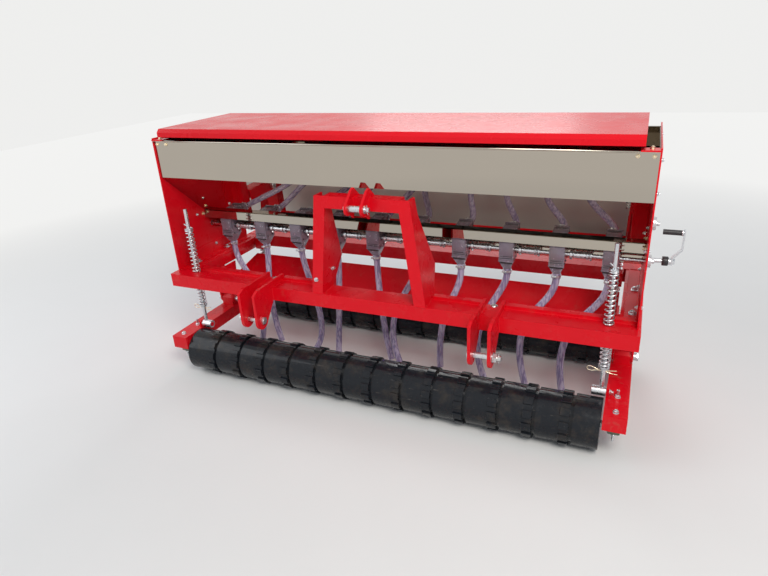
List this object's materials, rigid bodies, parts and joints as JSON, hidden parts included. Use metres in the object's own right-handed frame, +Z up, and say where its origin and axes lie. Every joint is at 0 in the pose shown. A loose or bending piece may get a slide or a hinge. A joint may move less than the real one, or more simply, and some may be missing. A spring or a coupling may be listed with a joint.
{
  "type": "seed drill",
  "caption": "Mounted seed drill: welded frame on two notched packer rollers, stainless seed hopper with lid, metering cups with clear drop tubes, hitch mast and sprung arms.",
  "frame": {"origin": "centre of the bounding box, at floor level", "axes": "+X to the right of the direction of travel as seen from the rear, along the beams; +Y rearwards, away from the tractor; +Z up"},
  "size_m": [2.145, 0.8639, 1.1299],
  "materials": {
    "red_paint": "gloss",
    "stainless": "mirror-polished stainless sheet",
    "zinc_plate": "bright zinc plate",
    "black_paint": "gloss",
    "axle_steel": "turned",
    "bearing_housing": "painted olive grey",
    "black_plastic": "satin",
    "clear_plastic": "clear with a violet tint",
    "clear_hose": "clear flexible vinyl"
  },
  "bodies": {
    "frame": {"front_beam": "red_paint", "rear_beam": "red_paint", "side_rails": "red_paint", "beam_strip": "red_paint", "side_plates": "red_paint", "plate_angles": "red_paint", "mast": "red_paint", "top_link_clevis": "red_paint", "lower_lugs": "red_paint", "hopper_brackets": "red_paint", "seed_shield": "red_paint", "pivot_legs": "red_paint", "rocker_arms": "red_paint", "rod_brackets": "red_paint", "hitch_pins": "zinc_plate", "lid_hinges": "zinc_plate", "shaft_bearings": "zinc_plate", "crank": "zinc_plate", "pivot_bolts": "zinc_plate", "spring_rods": "zinc_plate", "springs": "zinc_plate", "hopper": "stainless", "hopper_ends": "stainless", "hopper_bar": "stainless", "drive_guard": "black_paint", "bearing_blocks": "bearing_housing", "crank_grip": "black_plastic", "seed_cups": "clear_plastic", "seed_tube_1": "clear_hose", "seed_tube_2": "clear_hose", "seed_tube_3": "clear_hose", "seed_tube_4": "clear_hose", "seed_tube_5": "clear_hose", "seed_tube_6": "clear_hose", "seed_tube_7": "clear_hose", "seed_tube_8": "clear_hose", "seed_tube_9": "clear_hose", "seed_tube_10": "clear_hose"},
    "lid": {"lid": "red_paint"},
    "front_roller": {"front_roller": "black_paint", "front_axle": "axle_steel"},
    "rear_roller": {"rear_roller": "black_paint", "rear_axle": "axle_steel"},
    "meter_shaft": {"meter_shaft": "zinc_plate"},
    "agitator": {"agitator": "zinc_plate"}
  },
  "joints": [
    {"name": "lid_hinge", "type": "hinge", "parent": "frame", "child": "lid", "pos_m": [0, 0.264, 1.1], "axis": [-1, 0, 0], "range_deg": [0, 100]},
    {"name": "front_roller_turn", "type": "hinge", "parent": "frame", "child": "front_roller", "pos_m": [0, -0.294, 0.102], "axis": [1, 0, 0], "continuous": true},
    {"name": "rear_roller_turn", "type": "hinge", "parent": "frame", "child": "rear_roller", "pos_m": [0, 0.33, 0.102], "axis": [1, 0, 0], "continuous": true},
    {"name": "meter_turn", "type": "hinge", "parent": "frame", "child": "meter_shaft", "pos_m": [0, 0.023, 0.629], "axis": [1, 0, 0], "continuous": true},
    {"name": "agitator_turn", "type": "hinge", "parent": "frame", "child": "agitator", "pos_m": [0, 0.023, 0.773], "axis": [1, 0, 0], "continuous": true}
  ],
  "couplings": [
    {"joint": "meter_turn", "follows": "rear_roller_turn", "ratio": 0.5},
    {"joint": "agitator_turn", "follows": "rear_roller_turn", "ratio": 0.5}
  ]
}
